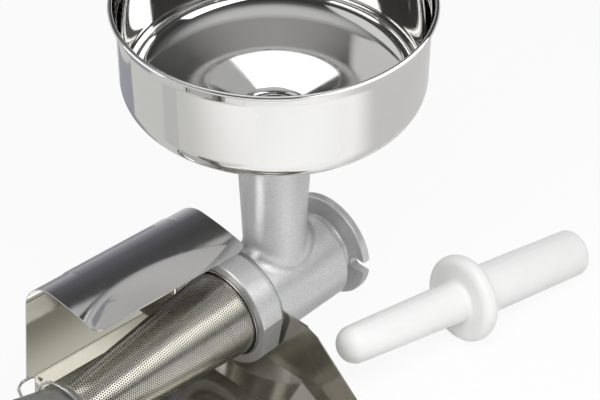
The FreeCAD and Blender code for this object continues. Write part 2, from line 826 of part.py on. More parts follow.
def tray_back_plate():
    """Plate that hangs the tray in the groove behind the ring nut, with a hem along its top."""
    t = d.tray_sheet.value
    near, far = -d.tray_near.value, d.tray_far.value - t
    top, low = d.plate_top.value, -strip_top
    reach = 4 * t
    plate = prism([(near, low), (far, low), (far, top), (near, top)], X_AXIS, 0, t)
    fold = top - d.plate_hem.value
    hem = prism([(near, fold), (far, fold), (far, top), (near, top)], X_AXIS, -t, t)
    clear = Part.makeCylinder(nut_radius.value + t, reach, vec(-reach, 0, 0), X_AXIS)
    notch = relief_radius.value + d.seat_gap.value
    saddle = Part.makeCylinder(notch, 2 * reach, vec(-reach, 0, 0), X_AXIS)
    mouth = prism([(-notch, 0), (notch, 0), (notch, 2 * top), (-notch, 2 * top)], X_AXIS, -reach, reach)
    whole = plate.fuse(hem.cut(clear)).cut(saddle).cut(mouth).removeSplitter()
    return by_hand("back_plate", solid_of(whole), hang)


def splash_guard():
    """One bent sheet over the strainer: a top panel, a large bend and a far wall on the tray's seat."""
    t = d.guard_sheet.value
    far = d.tray_far.value
    height = nut_radius.value + d.guard_clear.value
    length = d.tray_length.value + d.guard_overhang.value - d.guard_rear.value
    ridge = height + far * math.tan(math.radians(d.guard_slope.value))
    foot = d.seat_gap.value - d.tray_ledge.value
    line = rounded_path([vec(0, 0, height), vec(0, far, ridge), vec(0, far, foot)], [d.guard_bend.value])
    section = sheet_profile(line, t, vec(0, far - t, foot))
    solid = solid_of(section.extrude(vec(-length, 0, 0)))

    # rounded free corners of the top panel
    r = d.guard_corner.value
    low, high = height - 2 * r, ridge + 2 * r
    for end, inward in ((0, -r), (-length, r)):
        square = [(-r, low), (r, low), (r, high), (-r, high)]
        block = prism(square, X_AXIS, min(end, end + inward), max(end, end + inward))
        post = Part.makeCylinder(r, high - low, vec(end + inward, r, low), Z_AXIS)
        solid = solid.cut(block.cut(post))
    place = hang.multiply(FreeCAD.Placement(vec(-d.guard_rear.value, 0, 0), FreeCAD.Rotation()))
    return by_hand("guard", solid_of(solid), place)


wire_pivot_x = d.wire_pivot_inset.value - d.tray_length.value
wire_pivot_z = -d.tray_ledge.value - d.wire_pivot_below.value


def wire_clip():
    """Bent wire that pivots in the tray's far wall and hooks over the waste spout."""
    r = d.wire_radius.value
    inside = d.tray_far.value - d.tray_sheet.value - d.wire_inner_end.value
    out = d.tray_far.value + d.tray_joggle.value + d.wire_stand_off.value + r
    loop_x = wire_pivot_x - d.wire_loop_run.value
    corners = [
        vec(wire_pivot_x, inside, wire_pivot_z),
        vec(wire_pivot_x, out, wire_pivot_z),
        vec(loop_x, out, wire_pivot_z),
        vec(loop_x + d.wire_loop_back.value, out, wire_pivot_z - d.wire_loop_drop.value),
    ]
    points = [hang.multVec(corner) for corner in corners]
    place = -spout_rear.value - d.wire_on_spout.value
    arc = spout_flare.value + d.wire_spout_gap.value + r
    points += [
        vec(place, arc, -arc),
        vec(place, arc, arc),
        vec(place, -arc, arc),
        vec(place, -arc, -d.wire_end_drop.value),
    ]
    bend = d.wire_bend.value
    arch = arc - d.slip_fit.value
    path = rounded_path(points, [bend, bend, bend, bend, arch, arch])
    circle = Part.Circle(points[0], points[1] - points[0], r)
    tube = solid_of(path.makePipeShell([Part.Wire(circle.toShape())], True, True))
    straight = math.pi * r ** 2 * path.Length
    print("wire clip volume against section times length", round(tube.Volume / straight, 3))
    return by_hand("wire", tube)


def pestle():
    """One-piece plastic pestle: a tapered tip, a collar that stops on the hopper's floor, a handle."""
    tip = d.pestle_tip_length
    half = d.pestle_collar_thick * 0.5
    body = turned("pestle_body", [
        (-tip, 0),
        (-tip, d.pestle_tip_radius),
        (-half, d.pestle_neck_radius),
        (-half, d.pestle_collar_radius),
        (half, d.pestle_collar_radius),
        (half, d.pestle_handle_radius),
        (d.pestle_handle_length, d.pestle_end_radius),
        (d.pestle_handle_length, 0),
    ], rounds=[
        (-tip, d.pestle_tip_radius, d.pestle_tip_radius * 0.92),
        (-half, d.pestle_neck_radius, d.pestle_end_round * 0.5),
        (half, d.pestle_handle_radius, d.pestle_end_round * 0.5),
        (-half, d.pestle_collar_radius, half * 0.92),
        (half, d.pestle_collar_radius, half * 0.92),
        (d.pestle_handle_length, d.pestle_end_radius, d.pestle_end_round),
    ])
    # it lies on the table on its collar and the end of its handle
    drop = d.pestle_collar_radius.value - d.pestle_end_radius.value
    lean = math.atan2(drop, d.pestle_handle_length.value - d.pestle_end_round.value)
    turn = FreeCAD.Rotation(Z_AXIS, d.pestle_heading.value)
    turn = turn.multiply(FreeCAD.Rotation(Y_AXIS, math.degrees(lean)))
    height = table_level + d.pestle_collar_radius.value
    body.Placement = FreeCAD.Placement(vec(d.pestle_x.value, d.pestle_y.value, height), turn)
    return body


keep("body_casting", body_casting())
keep("hopper_bowl", hopper_bowl())
keep("ring_nut", ring_nut())
keep("cone_gasket", cone_gasket())
keep("strainer_rear_ring", strainer_rear_ring())
keep("strainer_cone", strainer_cone())
keep("strainer_front_ring", strainer_front_ring())
keep("waste_spout", waste_spout())
keep("auger", auger())
keep("drive_shaft", drive_shaft())
keep("shaft_pin", shaft_pin())
keep("rear_bush", ring("bush", d.recess_depth, d.bore_rear - d.seal_length, d.shaft_radius + d.slip_fit,
                       bush_radius - d.slip_fit))
keep("shaft_seal", ring("seal", d.bore_rear - d.seal_length, d.bore_rear, d.shaft_radius + d.slip_fit,
                        seal_radius - d.slip_fit))
keep("thrust_washer", ring("washer", washer_rear, washer_front, d.shaft_radius + d.slip_fit, washer_radius))
keep("retaining_clip", retaining_clip())
keep("auger_spring", auger_spring())
keep("drip_tray", drip_tray())
keep("tray_back_plate", tray_back_plate())
keep("splash_guard", splash_guard())
keep("wire_clip", wire_clip())
keep("pestle", pestle())

doc.recompute()
failed = [item.Label for item in doc.Objects if {"Invalid", "Error"} & set(item.State)]
for label, thing in nodes.items():
    if thing.Shape.isNull() or not thing.Shape.isValid() or len(thing.Shape.Solids) != 1:
        failed.append(label)
if failed:
    raise RuntimeError("these did not build: " + ", ".join(failed))
for label, thing in nodes.items():
    thing.Shape.exportStep(f"parts/{label}.step")
    print(label, "volume", round(thing.Shape.Volume / 1000, 2), "cm3")
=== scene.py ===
import json
import math
import bmesh
import bpy
from mathutils import Matrix, Vector

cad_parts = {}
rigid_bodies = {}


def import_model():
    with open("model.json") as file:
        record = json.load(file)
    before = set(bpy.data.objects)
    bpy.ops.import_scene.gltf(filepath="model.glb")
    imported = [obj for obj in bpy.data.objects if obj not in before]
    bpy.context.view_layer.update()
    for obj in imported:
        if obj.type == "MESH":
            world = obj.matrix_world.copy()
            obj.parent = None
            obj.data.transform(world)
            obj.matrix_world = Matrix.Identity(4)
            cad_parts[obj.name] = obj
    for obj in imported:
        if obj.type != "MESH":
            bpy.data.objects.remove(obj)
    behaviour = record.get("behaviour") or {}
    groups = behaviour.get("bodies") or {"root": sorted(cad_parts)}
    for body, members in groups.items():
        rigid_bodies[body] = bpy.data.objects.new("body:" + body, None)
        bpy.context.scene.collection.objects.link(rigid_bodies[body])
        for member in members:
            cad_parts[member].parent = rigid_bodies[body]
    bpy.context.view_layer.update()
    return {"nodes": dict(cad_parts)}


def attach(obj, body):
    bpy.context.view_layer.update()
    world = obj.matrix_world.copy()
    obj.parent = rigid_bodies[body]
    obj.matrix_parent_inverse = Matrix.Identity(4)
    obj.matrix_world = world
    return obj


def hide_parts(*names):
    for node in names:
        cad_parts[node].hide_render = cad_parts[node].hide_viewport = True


# Food mill: cast body, polished hopper, perforated strainer, drip tray with a splash guard,
# and a loose pestle.
# Sizes of the pieces are in millimetres and are turned into metres when a mesh is made.
for leftover in list(bpy.data.objects):
    bpy.data.objects.remove(leftover)

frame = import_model()
nodes = frame["nodes"]
scene = bpy.context.scene
MM = 0.001

# Sizes that the pieces share with the solids
NECK_X = -58.9
TRAY_X = -88.0
TRAY_TILT = 4.8
TABLE = -88.1
CONE_REAR = -105.5
CONE_FRONT = -256.5
CONE_WIDE = 33.0
CONE_NARROW = 18.6
CONE_SHEET = 0.8
HANG = Matrix.Translation((TRAY_X, 0, 0)) @ Matrix.Rotation(math.radians(TRAY_TILT), 4, "Y")

# Points of a mesh that lie nearer than this, in metres, are one point
WELD = 1e-8

# How much of the finer grain the noise of the materials has
NOISE_ROUGHNESS = 0.55

# Directions in the studio: along the camera's heading, to its right, and up
AHEAD = (0.720, 0.694, 0.0)
ASIDE = (0.694, -0.720, 0.0)
UP = (0.0, 0.0, 1.0)

# The photo's frame and the fitted camera, in pixels, and the camera's place and aim in millimetres
FRAME_WIDTH, FRAME_HEIGHT = 600, 400
FOCAL_LENGTH = 2323.2
OPTICAL_CENTRE = (282.7, 201.3)
SENSOR_WIDTH = 36.0
CAMERA_PLACE = (-974.8, -889.7, 1105.4)
CAMERA_AIM = (-50.3, 0, 66.4)

# Shades that mirrored surfaces see in the room and on its far side, as (height, grey, blue)
ROOM_SHADES = (
    (0.0, 1.0, 1.0), (0.08, 1.0, 1.0), (0.18, 0.26, 0.26), (0.28, 0.06, 0.06), (0.60, 0.04, 0.04),
    (0.76, 0.12, 0.12), (0.88, 0.42, 0.42), (0.95, 0.54, 0.54), (1.0, 0.56, 0.56),
)
FAR_SHADES = (
    (0.0, 0.40, 0.44), (0.15, 0.32, 0.3584), (0.30, 0.24, 0.2688), (0.48, 0.17, 0.1904),
    (0.60, 0.12, 0.1344), (0.66, 0.06, 0.0672), (0.70, 0.02, 0.02),
)

# Panels in the room, as (start, end, soft edge) or as the (start, end) of a soft step, and their
# brightness. Depth and across are the way ahead and aside for each unit of height.
OVERHEAD_DEPTH = (0.34, 0.90, 0.04)
OVERHEAD_ACROSS = (-0.295, 0.155, 0.02)
OVERHEAD_HEIGHT = (0.45, 0.55)
OVERHEAD_GLOW = 1.5
SIDE_DEPTH = (0.50, 1.00, 0.08)
SIDE_ACROSS = (0.08, 0.31, 0.03)
SIDE_GLOW = 0.45
LEFT_ASIDE = (-0.85, -0.60, 0.08)
LEFT_HEIGHT = (0.55, 0.78, 0.08)
LEFT_GLOW = 0.7
FAR_AHEAD = (0.68, 0.78)
FAR_ASIDE = (0.02, 0.16)
LEAST_HEIGHT = 0.05

# Light of the room on matt surfaces
ROOM_LIGHT = 0.52
ROOM_TINT = (0.985, 0.99, 1.0)

# The floor's width in metres, its grey, and how far the camera and mirrors see plain white there
FLOOR_WIDTH = 12.0
FLOOR_GREY = 0.8
CAMERA_VEIL = 0.9
MIRROR_VEIL = 0.05


# Mesh helpers
def add_piece(name, points, faces, body, node, sharp):
    """A mesh piece from millimetre points that stands for a CAD node and rides on its body."""
    mesh = bpy.data.meshes.new(name)
    mesh.from_pydata([Vector(p) * MM for p in points], [], faces)
    work = bmesh.new()
    work.from_mesh(mesh)
    bmesh.ops.remove_doubles(work, verts=work.verts, dist=WELD)
    bmesh.ops.recalc_face_normals(work, faces=work.faces)
    work.to_mesh(mesh)
    work.free()
    return finish_piece(name, mesh, body, node, sharp)


def finish_piece(name, mesh, body, node, sharp):
    """Shades a mesh smooth up to an angle in degrees and makes it a piece of the mill."""
    mesh.polygons.foreach_set("use_smooth", [True] * len(mesh.polygons))
    mesh.set_sharp_from_angle(angle=math.radians(sharp))
    piece = bpy.data.objects.new(name, mesh)
    scene.collection.objects.link(piece)
    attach(piece, body)
    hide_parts(node)
    return piece


def arc(centre, radius, start, end, steps):
    """Points on an arc between two angles in degrees."""
    angles = [math.radians(start + (end - start) * k / steps) for k in range(steps + 1)]
    return [(centre[0] + radius * math.cos(a), centre[1] + radius * math.sin(a)) for a in angles]


def filleted(corners, radii, steps):
    """A line of straight runs in a plane whose inner corners are rounded by tangent arcs."""
    spots = [Vector(c) for c in corners]
    line = [spots[0]]
    for before, corner, after, radius in zip(spots, spots[1:], spots[2:], radii):
        back = (before - corner).normalized()
        ahead = (after - corner).normalized()
        half = back.angle(ahead) / 2
        centre = corner + (back + ahead).normalized() * (radius / math.sin(half))
        first = corner + back * (radius / math.tan(half)) - centre
        last = corner + ahead * (radius / math.tan(half)) - centre
        sweep = math.pi - 2 * half
        for k in range(steps + 1):
            share = k / steps
            spoke = first * math.sin((1 - share) * sweep) + last * math.sin(share * sweep)
            line.append(centre + spoke / math.sin(sweep))
    line.append(spots[-1])
    return line


def course(line, index):
    """Direction of a line of points at one of them."""
    before = line[max(index - 1, 0)]
    after = line[min(index + 1, len(line) - 1)]
    return (after - before).normalized()


def thickened(line, thick):
    """The line moved sideways by a thickness, to the left of its direction of travel."""
    moved = []
    for index, spot in enumerate(line):
        along = course(line, index)
        moved.append(spot + Vector((-along.y, along.x)) * thick)
    return moved


def turned(outline, steps):
    """Points and faces of a closed outline of (radius, height) turned about Z."""
    count = len(outline)
    points, faces = [], []
    for step in range(steps):
        turn = 2 * math.pi * step / steps
        for radius, height in outline:
            points.append((radius * math.cos(turn), radius * math.sin(turn), height))
        here, ahead = step * count, (step + 1) % steps * count
        for k in range(count):
            after = (k + 1) % count
            faces.append((here + k, ahead + k, ahead + after, here + after))
    return points, faces


def border(rows, columns):
    """The numbers of a grid's points, row by row, once round its edge."""
    loop = list(range(columns))
    loop += [i * columns + columns - 1 for i in range(1, rows)]
    loop += [(rows - 1) * columns + j for j in range(columns - 2, -1, -1)]
    loop += [i * columns for i in range(rows - 2, 0, -1)]
    return loop


# Hopper bowl: spun sheet with a rolled rim
def hopper():
    sheet, bead = 1.2, 1.7
    rim, lip, wall = (108.3, 241.52), (105.2, 232.52), (104.2, 169.42)
    tube_top, tube_end = (19.8, 153.02), (19.8, 127.02)
    outlet_round, floor_round, lip_round = 5.0, 20.0, 9.0
    arc_steps, turn_steps = 40, 320
    rounds = [outlet_round, floor_round, lip_round]
    outer = filleted([tube_end, tube_top, wall, lip, rim], rounds, arc_steps)
    inner = thickened(outer, sheet)
    lean = (Vector(rim) - Vector(lip)).normalized()
    outer[-1] = Vector(rim) - lean * bead
    start = math.degrees(math.atan2(-lean.y, -lean.x))
    inside = Vector((-lean.y, lean.x)) * sheet - lean * math.sqrt(bead ** 2 - sheet ** 2)
    end = math.degrees(math.atan2(inside.y, inside.x)) % 360
    roll = [Vector(p) for p in arc(rim, bead, start, end, arc_steps)]
    inner[-1] = Vector(rim) + inside
    outline = [tuple(p) for p in outer + roll[1:-1] + inner[::-1]]
    points, faces = turned(outline, turn_steps)
    points = [(x + NECK_X, y, z) for x, y, z in points]
    return add_piece("hopper_shell", points, faces, body="hopper", node="hopper_bowl",
                     sharp=50)


# Splash guard: one bent polished sheet with rounded free corners and a swaged middle in its bend
def guard():
    sheet, bend, corner = 0.8, 24.5, 7.0
    near_z, far, foot = 45.3, 72.5, -39.7
    near_slope, ridge_slope = math.radians(13.0), math.radians(2.0)
    rear, front = -2.2, -146.2
    swage, swage_rear, swage_front, swage_ramp = 0.55, -21.0, -118.0, 2.2
    # tilts of the bend, in degrees, over which the swage rises and falls
    rise_tilt, rise_span, fall_tilt, fall_span = -2.0, 30, 89.0, 40
    corner_rows, crown_rows, bend_rows, wall_rows, columns = 12, 24, 60, 12, 160

    reach = far - bend * (1 + math.sin(ridge_slope))
    crown = reach / (math.sin(near_slope) - math.sin(ridge_slope))
    hub = Vector((crown * math.sin(near_slope), near_z - crown * math.cos(near_slope)))
    last_corner = corner_rows - 1
    spots = [corner * (1 - math.cos(math.pi / 2 * k / last_corner)) for k in range(corner_rows)]
    spots += [corner + (reach - corner) * k / crown_rows for k in range(1, crown_rows + 1)]
    rows = []
    for spot in spots:
        slope = math.asin((hub.x - spot) / crown)
        rows.append(hub + Vector((-math.sin(slope), math.cos(slope))) * crown)
    hub = rows[-1] + Vector((math.sin(ridge_slope), -math.cos(ridge_slope))) * bend
    for k in range(1, bend_rows + 1):
        slope = ridge_slope - (ridge_slope + math.pi / 2) * k / bend_rows
        rows.append(hub + Vector((-math.sin(slope), math.cos(slope))) * bend)
    wall = Vector((0, foot - rows[-1].y))
    rows += [rows[-1] + wall * (k / wall_rows) for k in range(1, wall_rows + 1)]
    places = [k / columns for k in range(columns + 1)]

    def smooth(value):
        value = min(max(value, 0.0), 1.0)
        return value * value * (3 - 2 * value)

    def layer(depth):
        line = thickened(rows, -depth)
        grid = []
        for index, (spot, skin) in enumerate(zip(line, rows)):
            inset = 0.0
            if skin.x < corner:
                inset = corner - math.sqrt(max(corner ** 2 - (corner - skin.x) ** 2, 0.0))
            along = course(rows, index)
            outward = Vector((-along.y, along.x))
            tilt = math.degrees(math.atan2(-along.y, along.x))
            share = smooth((tilt - rise_tilt) / rise_span) * smooth((fall_tilt - tilt) / fall_span)
            row = []
            for place in places:
                x = rear - inset + (front - rear + 2 * inset) * place
                rise = smooth((swage_rear - x) / swage_ramp)
                rise *= smooth((x - swage_front) / swage_ramp)
                moved = spot - outward * (swage * share * (1 - rise))
                row.append(HANG @ Vector((x, moved.x, moved.y)))
            grid.append(row)
        return grid

    across, along_count = len(rows), len(places)
    points = [p for grid in (layer(0.0), layer(sheet)) for row in grid for p in row]
    under = across * along_count
    faces = []
    for i in range(across - 1):
        for j in range(along_count - 1):
            a = i * along_count + j
            quad = (a, a + 1, a + 1 + along_count, a + along_count)
            faces.append(quad)
            faces.append(tuple(v + under for v in reversed(quad)))
    edge = border(across, along_count)
    for a, b in zip(edge, edge[1:] + edge[:1]):
        faces.append((a, b, b + under, a + under))
    return add_piece("guard_sheet", points, faces, body="splash_guard", node="splash_guard",
                     sharp=40)


# Strainer cone: a punched sheet rolled into a cone, closed by a lap seam
def strainer():
    pitch, hole, sides = 1.9, 1.28, 12
    end_margin, seam_margin = 0.4, 1.3
    half_lap, proud, sunk, stations, ribs = 2.1, 0.22, 0.05, 60, 10
    seam_turn = math.radians(-38)
    fall = (CONE_WIDE - CONE_NARROW) / (CONE_REAR - CONE_FRONT)
    lean = math.atan(fall)
    apex = CONE_FRONT - CONE_NARROW / fall
    wide = (CONE_REAR - apex) / math.cos(lean)
    narrow = (CONE_FRONT - apex) / math.cos(lean)
    spread = 2 * math.pi * math.sin(lean)

    def placed(reach, turn, radius):
        """A point at this reach from the cone's apex and this turn and radius about its axis."""
        return (apex + reach * math.cos(lean), -radius * math.cos(turn), radius * math.sin(turn))

    def rolled(u, v, depth):
        """A point of the flat sheet, with the sheet's middle line along u, on the rolled cone."""
        reach = math.hypot(u, v)
        turn = math.atan2(v, u) / math.sin(lean) + seam_turn + math.pi
        return placed(reach, turn, reach * math.sin(lean) - depth)

    points, faces, known, borders = [], [], {}, {}

    def corner(u, v, layer):
        """The number of a corner that neighbouring cells of the sheet share."""
        key = (round(u, 3), round(v, 3), layer)
        if key not in known:
            known[key] = len(points)
            points.append(rolled(u, v, layer * CONE_SHEET))
        return known[key]

    def ring(count):
        """Directions of the corners of a regular figure."""
        turns = [math.pi / 6 + 2 * math.pi * k / count for k in range(count)]
        return [(math.cos(turn), math.sin(turn)) for turn in turns]

    # a cell for each hole: a hexagon of sheet, on both layers, round the hole's own ring of points
    row_step = pitch * math.sqrt(3) / 2
    first_row = int(narrow * math.cos(spread / 2) / pitch) - 2
    last_row = int(wide / pitch) + 2
    rows_across = int(wide * math.sin(spread / 2) / row_step) + 2
    cell = pitch / math.sqrt(3)
    reach_in = hole / 2
    hexes, rim = ring(6), ring(sides)
    for r in range(-rows_across, rows_across + 1):
        v = r * row_step
        for c in range(first_row, last_row):
            u = (c + 0.5 * (r % 2)) * pitch
            reach = math.hypot(u, v)
            margin = abs(math.atan2(v, u)) * reach
            on_seam = margin > spread / 2 * reach - seam_margin
            if on_seam or not narrow + end_margin < reach < wide - end_margin:
                continue
            rings, hexagons = [], []
            for layer in (0, 1):
                hexagon = [corner(u + cell * x, v + cell * y, layer) for x, y in hexes]
                base = len(points)
                depth = layer * CONE_SHEET
                points.extend(rolled(u + reach_in * x, v + reach_in * y, depth) for x, y in rim)
                circle = list(range(base, base + sides))
                rings.append(circle)
                hexagons.append(hexagon)
                for k in range(6):
                    a, b = hexagon[k], hexagon[(k + 1) % 6]
                    p, q, s = circle[2 * k], circle[2 * k + 1], circle[(2 * k + 2) % sides]
                    patch = [(a, q, p), (a, b, q), (b, s, q)]
                    faces.extend(patch if layer == 0 else [tuple(reversed(t)) for t in patch])
            for k in range(sides):
                after = (k + 1) % sides
                faces.append((rings[0][k], rings[0][after], rings[1][after], rings[1][k]))
            for k in range(6):
                a, b = hexagons[0][k], hexagons[0][(k + 1) % 6]
                side = (b, a, hexagons[1][k], hexagons[1][(k + 1) % 6])
                if borders.pop((b, a), None) is None:
                    borders[(a, b)] = side
    faces.extend(borders.values())

    # lap seam: a plain raised strip over the sheet's two edges
    base = len(points)
    ladder = []
    for j in range(stations + 1):
        reach = narrow + (wide - narrow) * j / stations
        row = []
        for k in range(ribs + 1):
            side = -half_lap + 2 * half_lap * k / ribs
            lift = proud * (1 - (side / half_lap) ** 4)
            turn = side / (reach * math.sin(lean)) + seam_turn
            row.append(placed(reach, turn, reach * math.sin(lean) + lift - sunk))
        ladder.append(row)
    for shift in (0.0, CONE_SHEET):
        for row in ladder:
            for x, y, z in row:
                size = math.hypot(y, z)
                points.append((x, y * (size - shift) / size, z * (size - shift) / size))
    across = ribs + 1
    under = (stations + 1) * across
    for j in range(stations):
        for k in range(ribs):
            a = base + j * across + k
            faces.append((a, a + across, a + across + 1, a + 1))
            faces.append((a + under, a + under + 1, a + under + across + 1, a + under + across))
    loop = border(stations + 1, across)
    for a, b in zip(loop, loop[1:] + loop[:1]):
        faces.append((base + a, base + b, base + b + under, base + a + under))
    mesh = bpy.data.meshes.new("strainer_sheet")
    mesh.from_pydata([Vector(p) * MM for p in points], [], faces)
    return finish_piece("strainer_sheet", mesh, body="strainer", node="strainer_cone",
                        sharp=40)


# Node helpers
def spread(tree, value, start, end, low, high, kind="LINEAR"):
    """A node that turns a value's run from start to end into one from low to high."""
    node = tree.nodes.new("ShaderNodeMapRange")
    node.interpolation_type = kind
    limits = {"From Min": start, "From Max": end, "To Min": low, "To Max": high}
    for socket, amount in limits.items():
        node.inputs[socket].default_value = amount
    tree.links.new(value, node.inputs["Value"])
    return node.outputs["Result"]


def mixed(tree, factor, first, second, kind="MIX"):
    """A node that mixes two colours, where each of the three is a socket or a plain value."""
    node = tree.nodes.new("ShaderNodeMix")
    node.data_type = "RGBA"
    node.blend_type = kind
    for socket, value in {"Factor": factor, "A": first, "B": second}.items():
        if isinstance(value, bpy.types.NodeSocket):
            tree.links.new(value, node.inputs[socket])
        else:
            node.inputs[socket].default_value = value
    return node.outputs["Result"]


# Materials
class Shade:
    """A node material under construction, with its detail placed by position on the piece."""

    def __init__(self, slot, **values):
        self.slot = slot
        self.material = bpy.data.materials.new(slot)
        self.material.use_nodes = True
        self.tree = self.material.node_tree
        self.tree.nodes.clear()
        self.bsdf = self.tree.nodes.new("ShaderNodeBsdfPrincipled")
        out = self.tree.nodes.new("ShaderNodeOutputMaterial")
        self.tree.links.new(self.bsdf.outputs["BSDF"], out.inputs["Surface"])
        self.place = self.tree.nodes.new("ShaderNodeTexCoord").outputs["Object"]
        for socket, value in values.items():
            self.bsdf.inputs[socket.replace("_", " ")].default_value = value

    def stretched(self, scale):
        """The position on the piece, scaled along each axis."""
        mapping = self.tree.nodes.new("ShaderNodeMapping")
        mapping.inputs["Scale"].default_value = scale
        self.tree.links.new(self.place, mapping.inputs["Vector"])
        return mapping.outputs["Vector"]

    def noise(self, grain, detail=3.0, stretch=None):
        """Soft noise whose features are about this many millimetres across."""
        node = self.tree.nodes.new("ShaderNodeTexNoise")
        node.inputs["Scale"].default_value = 1 / (grain * MM)
        node.inputs["Detail"].default_value = detail
        node.inputs["Roughness"].default_value = NOISE_ROUGHNESS
        source = self.stretched(stretch) if stretch else self.place
        self.tree.links.new(source, node.inputs["Vector"])
        return node.outputs["Fac"]

    def cells(self, grain):
        """Random value per small cell."""
        node = self.tree.nodes.new("ShaderNodeTexVoronoi")
        node.inputs["Scale"].default_value = 1 / (grain * MM)
        self.tree.links.new(self.place, node.inputs["Vector"])
        split = self.tree.nodes.new("ShaderNodeSeparateColor")
        self.tree.links.new(node.outputs["Color"], split.inputs["Color"])
        return split.outputs["Red"]

    def ranged(self, value, low, high, start=0.3, end=0.7):
        """The value's run from start to end, spread evenly from low to high."""
        return spread(self.tree, value, start, end, low, high)

    def colour(self, value, first, second):
        """Base colour that goes from one colour to another with the value."""
        blend = mixed(self.tree, value, (*first, 1), (*second, 1))
        self.tree.links.new(blend, self.bsdf.inputs["Base Color"])
        return self

    def painted_shade(self, value, dark):
        """Painted shade: turns the colour set before to a dark one where the value is 0."""
        base = self.bsdf.inputs["Base Color"]
        blend = mixed(self.tree, value, (*dark, 1), base.links[0].from_socket)
        self.tree.links.new(blend, base)
        return self

    def roughness(self, value, low, high):
        self.tree.links.new(self.ranged(value, low, high), self.bsdf.inputs["Roughness"])
        return self

    def metal(self, value, low, high):
        """How metallic the surface is, where haze or staining dulls it."""
        self.tree.links.new(self.ranged(value, low, high, 0.0, 1.0), self.bsdf.inputs["Metallic"])
        return self

    def across(self, start, end):
        """0 to 1 over a run of the piece's Y, given in millimetres."""
        split = self.tree.nodes.new("ShaderNodeSeparateXYZ")
        self.tree.links.new(self.place, split.inputs["Vector"])
        return self.ranged(split.outputs["Y"], 0.0, 1.0, start * MM, end * MM)

    def radial(self):
        """1 where the surface faces from or to the X axis, 0 on the walls of holes through it."""
        spoke = self.tree.nodes.new("ShaderNodeVectorMath")
        spoke.operation = "NORMALIZE"
        self.tree.links.new(self.stretched((0.0, 1.0, 1.0)), spoke.inputs[0])
        lean = self.tree.nodes.new("ShaderNodeVectorMath")
        lean.operation = "DOT_PRODUCT"
        normal = self.tree.nodes.new("ShaderNodeTexCoord").outputs["Normal"]
        self.tree.links.new(spoke.outputs["Vector"], lean.inputs[0])
        self.tree.links.new(normal, lean.inputs[1])
        size = self.tree.nodes.new("ShaderNodeMath")
        size.operation = "ABSOLUTE"
        self.tree.links.new(lean.outputs["Value"], size.inputs[0])
        return size.outputs[0]

    def bump(self, value, depth, strength=1.0):
        """Raised detail of this depth in millimetres, on top of any bump added before."""
        node = self.tree.nodes.new("ShaderNodeBump")
        node.inputs["Strength"].default_value = strength
        node.inputs["Distance"].default_value = depth * MM
        self.tree.links.new(value, node.inputs["Height"])
        normal = self.bsdf.inputs["Normal"]
        if normal.is_linked:
            self.tree.links.new(normal.links[0].from_socket, node.inputs["Normal"])
        self.tree.links.new(node.outputs["Normal"], normal)
        return self


